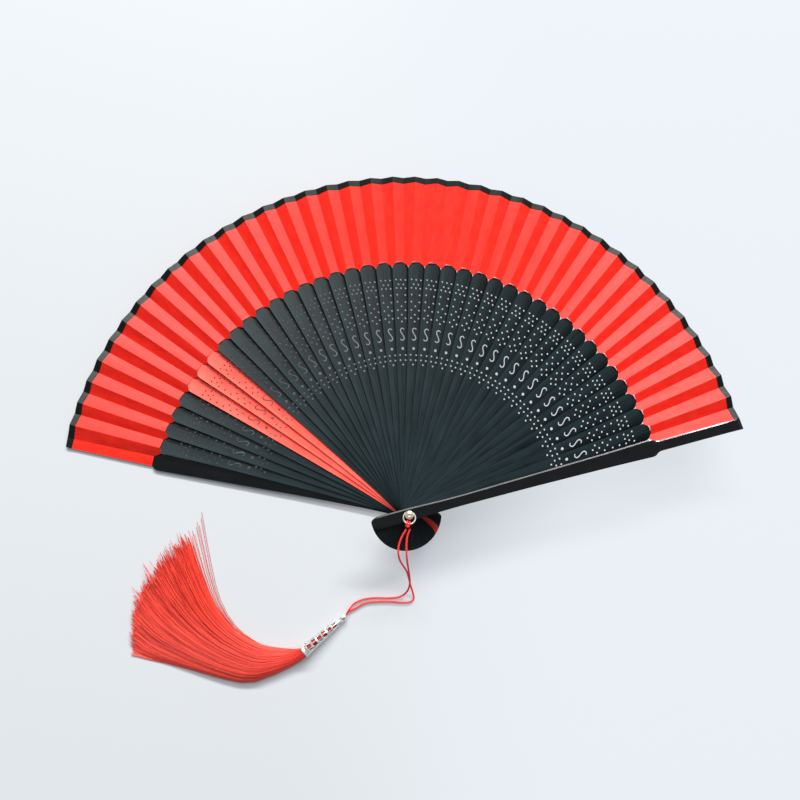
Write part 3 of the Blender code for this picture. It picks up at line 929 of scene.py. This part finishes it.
def laid_cord(name, points, material, spacing=0.3, lay_length=3.2):
    """A cord of three yarns laid together, along a smooth curve through the points."""
    line = even_line(points, spacing)
    section = bpy.data.curves.new("yarns", "CURVE")
    section.dimensions = "2D"
    loop = section.splines.new("POLY")
    loop.points.add(17)
    loop.use_cyclic_u = True
    for step, place in enumerate(loop.points):
        turn = 2 * math.pi * step / len(loop.points)
        reach = CORD_DIAMETER / 2 * (0.93 + 0.09 * math.cos(3 * turn)) * MM
        place.co = (reach * math.cos(turn), reach * math.sin(turn), 0.0, 1.0)
    section_item = bpy.data.objects.new("yarns", section)
    bpy.context.scene.collection.objects.link(section_item)
    curve = bpy.data.curves.new(name, "CURVE")
    curve.dimensions = "3D"
    curve.bevel_mode = "OBJECT"
    curve.bevel_object = section_item
    curve.use_fill_caps = True
    spline = curve.splines.new("POLY")
    spline.points.add(len(line) - 1)
    for number, (place, point) in enumerate(zip(spline.points, line)):
        place.co = (*(point * MM), 1.0)
        place.tilt = 2 * math.pi * number * spacing / lay_length
    mesh = mesh_of_curve(name, curve, section_item)
    return link_piece(name, mesh, material, 60.0), line


def hitch_points(knot):
    """A lark's head: up under the wire, over it, across in front and back the same way."""
    turn = math.radians(HITCH_ANGLE)
    out = Vector((math.cos(turn), math.sin(turn), 0.0))
    along = Vector((-math.sin(turn), math.cos(turn), 0.0))
    half = [
        (-0.62, 1.75, -0.5),
        (-0.6, 0.8, -0.85),
        (-0.6, -0.25, -1.08),
        (-0.62, -1.08, -0.3),
        (-0.64, -0.75, 0.75),
        (-0.64, 0.2, 1.08),
        (-0.55, 1.1, 0.95),
    ]
    points = [knot + along * a + out * o + Vector((0, 0, z)) for a, o, z in half]
    points.append(knot + out * 1.55 + Vector((0, 0, 0.85)))
    points += [knot - along * a + out * o + Vector((0, 0, z)) for a, o, z in reversed(half)]
    return points


def cord_routes(knot):
    """The two strands, over the heads of the sticks and down on to the table."""
    top = FRONT_GUARD_TOP + CORD_CLEARANCE + CORD_DIAMETER / 2
    left = [
        (knot.x - 0.95, knot.y - 2.75, knot.z - 0.1),
        (-4.3, -11.2, top + 0.75),
        (-6.0, -15.8, top + 0.6),
        (-6.2, -20.2, top + 0.1),
        (-5.2, -24.0, top - 3.0),
        (-3.2, -27.6, top - 8.0),
        (-1.1, -31.6, top - 13.5),
        (0.2, -36.0, top - 18.4),
        (1.3, -40.6, 3.9),
        (2.7, -45.0, 1.8),
        (3.0, -48.2, 1.0),
        (0.9, -49.9, 0.85),
        (-4.0, -50.0, 0.85),
        (-10.2, -49.3, 0.85),
        (-16.9, -49.0, 0.85),
        (-23.6, -49.5, 0.85),
        (-29.1, -51.9, 0.95),
        (-33.1, -53.7, 1.2),
        (-34.5, -55.3, 1.5),
    ]
    right = [
        (knot.x + 0.95, knot.y - 2.75, knot.z - 0.1),
        (-1.4, -11.0, top + 0.75),
        (-1.9, -14.5, top + 0.7),
        (-2.0, -18.5, top + 0.5),
        (-1.8, -22.5, top - 0.6),
        (-1.2, -26.5, top - 4.2),
        (-0.3, -31.2, top - 10.5),
        (0.4, -35.8, top - 15.0),
        (0.5, -38.8, 8.0),
        (-0.3, -42.6, 4.6),
        (-2.4, -45.4, 2.0),
        (-6.0, -47.1, 0.95),
        (-12.0, -47.3, 0.85),
        (-18.0, -46.9, 0.9),
        (-24.2, -47.3, 1.0),
        (-29.5, -49.1, 1.2),
        (-32.5, -51.9, 1.9),
        (-34.6, -55.1, 2.0),
    ]
    return [Vector(point) for point in left], [Vector(point) for point in right]


def along_cap(bm):
    """Turn a shape made about +Z so that it lies from the cap's cord end to its wide end."""
    direction = (CAP_END - CAP_START).normalized()
    turn = direction.to_track_quat("Z", "Y").to_matrix()
    turn_shape(bm, turn)
    move_shape(bm, CAP_START)


def cap_radius(share):
    """Outer radius of the cap along its length, with a rolled rim at each end."""
    radius = CAP_START_RADIUS + (CAP_END_RADIUS - 0.2 - CAP_START_RADIUS) * share**0.9
    radius += 0.25 * math.exp(-(((share - 0.985) / 0.02) ** 2))
    radius += 0.45 * math.exp(-(((share - 0.06) / 0.045) ** 2))
    return radius


def filigree_cap():
    """A cone of thin cast metal: smooth below, scalloped and pierced with scrolls above."""
    around = 28
    along = 52
    length = (CAP_END - CAP_START).length
    bm = bmesh.new()
    bmesh.ops.create_grid(bm, x_segments=around, y_segments=along, size=1.0)
    facing = math.radians(90.0)
    openings = []
    for face in bm.faces:
        centre = face.calc_center_median()
        column = int((centre.x + 1) / 2 * around)
        row = int((centre.y + 1) / 2 * along)
        pierced_side = 12 <= column < 25
        lattice = 12 <= row < 48 and (row - 12) % 6 < 4
        shifted = (column + (2 if (row - 12) // 6 % 2 else 0)) % 4
        if pierced_side and lattice and shifted < 3:
            openings.append(face)
        elif 2 <= row < 5 and 12 <= column < 16:
            openings.append(face)
    bmesh.ops.delete(bm, geom=openings, context="FACES")
    for vert in bm.verts:
        turn = math.pi * vert.co.x
        share = (vert.co.y + 1) / 2
        radius = cap_radius(share)
        if 0.22 < share < 0.92:
            upper = max(0.0, math.cos(turn - 1.0)) ** 0.7
            radius += 0.7 * upper * abs(math.sin(math.pi * (share - 0.22) * 5.2))
        angle = turn + facing
        vert.co = (radius * math.cos(angle), radius * math.sin(angle), share * length)
    bmesh.ops.remove_doubles(bm, verts=bm.verts, dist=0.001)
    bmesh.ops.recalc_face_normals(bm, faces=bm.faces)
    bmesh.ops.solidify(bm, geom=bm.faces[:], thickness=CAP_WALL)
    along_cap(bm)
    return bm


def thread_core():
    """The bound heads of the threads inside the cap, a ridged tapering bundle."""
    length = (CAP_END - CAP_START).length
    profile = [(0.0, length * 0.1), (0.5, length * 0.1)]
    for step in range(1, 9):
        share = 0.1 + 0.88 * step / 8
        profile.append((cap_radius(share) - CAP_WALL - 0.35, length * share))
    profile.append((0.0, length * 0.98))
    bm = turned(profile, 40)
    for vert in bm.verts:
        turn = math.atan2(vert.co.y, vert.co.x)
        ridge = 1.0 - 0.07 * abs(math.sin(10 * turn + 0.1 * vert.co.z))
        vert.co.x *= ridge
        vert.co.y *= ridge
    along_cap(bm)
    return bm


# low edge, high edge, thickness and how far the middle runs ahead, from the cap to the thread ends
SHEAF_ROWS = (
    ((-63.8, -81.0), (-64.0, -72.4), 4.3, 0.0),
    ((-84.4, -88.5), (-76.3, -70.6), 5.2, 0.0),
    ((-99.0, -86.8), (-84.8, -67.6), 5.2, 0.0),
    ((-115.5, -81.5), (-96.0, -60.0), 4.6, 0.1),
    ((-130.5, -76.3), (-105.8, -47.8), 4.0, 0.3),
    ((-141.5, -72.6), (-113.0, -32.0), 3.4, 0.62),
    ((-148.1, -68.9), (-119.5, -13.4), 2.6, 1.0),
)
SHEAF_LEAD = Vector((-8.0, 2.5))


def sheaf_thread(share, lift, drift, reach, wave):
    """One thread of the skirt, from inside the cap to its loose end."""
    direction = (CAP_END - CAP_START).normalized()
    across = Vector((direction.y, -direction.x, 0.0)).normalized()
    side = (0.5 - share) * 2
    room = math.sqrt(max(0.0, 1 - side * side))
    points = []
    for back, radius in ((-2.5, 2.2), (0.4, 2.75)):
        centre = CAP_END + direction * back
        height = (lift * 2 - 1) * room * radius * 0.95
        points.append(centre - across * side * radius + Vector((0, 0, height)))
    last = len(SHEAF_ROWS) - 1
    for number, (low, high, thick, lead) in enumerate(SHEAF_ROWS):
        progress = (number + 1) / (last + 1)
        place = share + drift * progress**2 + wave[0] * math.sin(wave[1] + 5 * progress)
        point = Vector(low).lerp(Vector(high), place)
        bulge = math.sin(math.pi * min(1.0, max(0.0, place)))
        point += SHEAF_LEAD * bulge * lead
        height = 0.25 + (0.3 + thick * bulge**0.55) * lift
        points.append(Vector((point.x, point.y, height + 0.15)))
    points[-1] = points[-2].lerp(points[-1], reach)
    return points


def skirt_threads(name, threads, material):
    """Many thin threads as one mesh; each is a few straight runs of a four-sided tube."""
    curve = bpy.data.curves.new(name, "CURVE")
    curve.dimensions = "3D"
    curve.bevel_depth = THREAD_RADIUS * MM
    curve.bevel_resolution = 0
    counts = []
    for thread in threads:
        line = smooth_line(thread, 2)
        spline = curve.splines.new("POLY")
        spline.points.add(len(line) - 1)
        for number, (place, point) in enumerate(zip(spline.points, line)):
            place.co = (*(point * MM), 1.0)
            place.radius = 1.0 - 0.2 * number / (len(line) - 1)
        counts.append(len(line))
    mesh = mesh_of_curve(name, curve)
    per_point = len(mesh.vertices) // sum(counts)
    shade = mesh.attributes.new("strand", "FLOAT", "POINT")
    values = []
    for count in counts:
        values += [random.random()] * (count * per_point)
    shade.data.foreach_set("value", values)
    return link_piece(name, mesh, material, 120.0)


# ---------------------------------------------------------------- stage, light and camera


VIEW_TARGET = (-1.52, 63.42, 0.0)
VIEW_TILT = 7.02
VIEW_TURN = 238.14
VIEW_DISTANCE = 0.3533
VIEW_LEAN = 1.56
VIEW_LENS = 27.53


def view_camera():
    """Looks down on the fan from a little below its middle."""
    target = Vector(VIEW_TARGET) * MM
    away = math.radians(VIEW_TILT)
    turn = math.radians(VIEW_TURN)
    distance = VIEW_DISTANCE
    back = Vector((math.sin(away) * math.cos(turn), math.sin(away) * math.sin(turn), math.cos(away)))
    camera = bpy.data.objects.new("camera", bpy.data.cameras.new("camera"))
    bpy.context.scene.collection.objects.link(camera)
    lean = math.radians(VIEW_LEAN)
    up = Vector((math.sin(lean), math.cos(lean), 0.0))
    right = up.cross(back).normalized()
    true_up = back.cross(right)
    camera.matrix_world = Matrix(
        (
            (right.x, true_up.x, back.x, target.x + back.x * distance),
            (right.y, true_up.y, back.y, target.y + back.y * distance),
            (right.z, true_up.z, back.z, target.z + back.z * distance),
            (0.0, 0.0, 0.0, 1.0),
        )
    )
    camera.data.lens = VIEW_LENS
    camera.data.sensor_width = 36.0
    camera.data.clip_start = 0.01
    bpy.context.scene.camera = camera


def area_light(name, place, aim, size, power, colour):
    light = bpy.data.lights.new(name, "AREA")
    light.shape = "RECTANGLE"
    light.size, light.size_y = size
    light.energy = power
    light.color = colour
    item = bpy.data.objects.new(name, light)
    item.location = place
    item.rotation_mode = "QUATERNION"
    item.rotation_quaternion = (Vector(place) - Vector(aim)).to_track_quat("Z", "Y")
    bpy.context.scene.collection.objects.link(item)


def studio():
    bm = bmesh.new()
    bmesh.ops.create_grid(bm, x_segments=1, y_segments=1, size=4000.0)
    move_shape(bm, (0.0, 0.0, -0.05))
    floor = add_piece("table_top", bm, pale_table_with_painted_glow())
    world = bpy.data.worlds.new("studio air")
    world.use_nodes = True
    air = world.node_tree.nodes["Background"]
    air.inputs["Color"].default_value = (0.90, 0.95, 1.0, 1.0)
    air.inputs["Strength"].default_value = 0.27
    bpy.context.scene.world = world
    middle = (0.0, 0.06, 0.0)
    area_light("window", (0.4, 2.8, 3.6), middle, (3.6, 2.4), 120.0, (1.0, 0.99, 0.98))
    area_light("strip lamp", (0.5, 3.75, 2.45), middle, (4.0, 0.4), 330.0, (1.0, 0.98, 0.95))
    bpy.context.scene.view_settings.view_transform = "Standard"
    bpy.context.scene.view_settings.look = "None"


# ---------------------------------------------------------------- the fan


def make_cords(cord_material):
    knot = hitch_centre()
    hitch, _ = laid_cord("hitch_knot", hitch_points(knot), cord_material, 0.2)
    settle(hitch, "tassel", "cord", "cord_hitch")
    strands = []
    for side, route in zip(("left", "right"), cord_routes(knot)):
        strand, line = laid_cord(f"cord_strand_{side}", route, cord_material)
        settle(strand, "tassel", "cord", f"cord_{side}")
        strands.append((strand, line))
    return hitch, strands


def make_tassel(cord_material, thread_material, silver):
    hitch, strands = make_cords(cord_material)
    cap = add_piece("filigree_cap", filigree_cap(), silver, 50.0)
    smoother = cap.modifiers.new("rounded edges", "SUBSURF")
    smoother.levels = 1
    smoother.render_levels = 1
    settle(cap, "tassel", "silver", "tassel_cap")
    core = add_piece("bound_threads", thread_core(), thread_material, 60.0)
    settle(core, "tassel", "thread", "tassel_core")
    threads = []
    for _ in range(THREAD_COUNT):
        share = random.random()
        lift = random.random() ** 0.7
        drift = random.gauss(0.0, 0.02)
        reach = 0.98 + random.gauss(0.0, 0.2)
        wave = (abs(random.gauss(0.0, 0.006)), random.uniform(0.0, 6.3))
        threads.append(sheaf_thread(share, lift, drift, reach, wave))
    for number in range(LONG_STRAYS):
        drift = 0.04 + 0.028 * number
        reach = 1.0 + 0.07 * (number % 3)
        threads.append(sheaf_thread(0.97, 0.5, drift, reach, (0.008, 2.1 * number)))
    for number in range(SHORT_STRAYS):
        drift = -0.02 - 0.012 * number
        reach = 1.0 + 0.05 * (number % 3)
        threads.append(sheaf_thread(0.02, 0.1, drift, reach, (0.01, 2 * number)))
    skirt = skirt_threads("skirt_threads", threads, thread_material)
    settle(skirt, "tassel", "thread", "tassel_skirt")


def make_sticks(lacquer, black, red):
    template = bpy.data.meshes.new("rib")
    bm = pierced_rib()
    bm.to_mesh(template)
    bm.free()
    for index in range(1, LAST):
        bm = bmesh.new()
        bm.from_mesh(template)
        layer = bm.loops.layers.uv.active
        for face in bm.faces:
            for corner in face.loops:
                corner[layer].uv.y += 23.0 * index
        place_stick(bm, index, rib_height(index))
        wood = red if index in RED_RIBS else black
        rib = add_piece("pierced_" + rib_name(index), bm, wood)
        slot = "red_wood" if index in RED_RIBS else "black_wood"
        settle(rib, f"rib_{index:02d}", slot, rib_name(index))
    bpy.data.meshes.remove(template)
    back = guard_stick(True, RIVET_FOOT_HOLE, BACK_SHOULDER, (2.5, 1.7, 2.8, 2.9))
    front = guard_stick(False, RIVET_HOLE, 0.0, (3.0, 3.2, 2.8, 3.0))
    for name, bm, index, height in (
        ("back_guard", back, 0, 0.0),
        ("front_guard", front, LAST, FRONT_GUARD_BASE),
    ):
        place_stick(bm, index, height)
        guard = add_piece("lacquered_" + name, bm, lacquer, 20.0)
        settle(guard, name, "lacquer", name)


def make_leaf(silk, edging):
    border_inner = LEAF_OUTER - BORDER_WIDTH
    cloth_outer = border_inner + HEM_OVERLAP
    for index in range(LAST):
        cloth = pleat_strip(
            index, LEAF_INNER, cloth_outer, 5, 12, LEAF_THICKNESS, LEAF_WRINKLE, LEAF_TONGUE
        )
        leaf = add_piece(f"leaf_pleat_{index + 1:02d}", cloth, silk, 20.0)
        binding = pleat_strip(index, border_inner, LEAF_OUTER, 5, 3, EDGING_THICKNESS, LEAF_WRINKLE, 0.0)
        border = add_piece(f"edging_pleat_{index + 1:02d}", binding, edging, 20.0)
        for item, slot, node in ((leaf, "silk", "silk_leaf"), (border, "edging", "leaf_edging")):
            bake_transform(item)
            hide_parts(node)


def make_rivet(gold, wire):
    rivet = add_piece("domed_rivet", rivet_shape(), gold, 40.0)
    settle(rivet, "back_guard", "rivet_metal", "rivet")
    ring = add_piece("cut_ring", ring_shape(), wire, 40.0)
    settle(ring, "tassel", "wire", "tassel_ring")


view_camera()
make_tassel(
    red_fibre("red laid cord", (0.72, 0.012, 0.012), (1.0, 0.035, 0.03), None, 0.08),
    red_fibre("red silky thread", (0.34, 0.001, 0.001), (1.0, 0.07, 0.035), "strand", 0.05),
    polished_metal("silver plate", (0.86, 0.86, 0.84), (0.5, 0.5, 0.46), 0.16, 0.3),
)
make_sticks(
    black_lacquer(),
    dyed_bamboo_with_painted_shade("black dyed bamboo", (0.001, 0.003, 0.004), (0.013, 0.026, 0.030), 0.36, 0.48),
    dyed_bamboo_with_painted_shade("red dyed bamboo", (0.86, 0.04, 0.025), (0.98, 0.14, 0.10), 0.36, 0.48),
)
make_leaf(
    woven_cloth("red silk", (0.82, 0.010, 0.004), (0.97, 0.028, 0.012), 0.3, 0.03),
    woven_cloth("dark edging cloth", (0.001, 0.003, 0.002), (0.005, 0.010, 0.008), 0.4, 0.0),
)
make_rivet(
    polished_metal("pale gold rivet metal", (0.90, 0.83, 0.66), (0.55, 0.45, 0.3), 0.14, 0.26),
    polished_metal("steel wire", (0.82, 0.79, 0.72), (0.5, 0.46, 0.38), 0.16, 0.3),
)
studio()
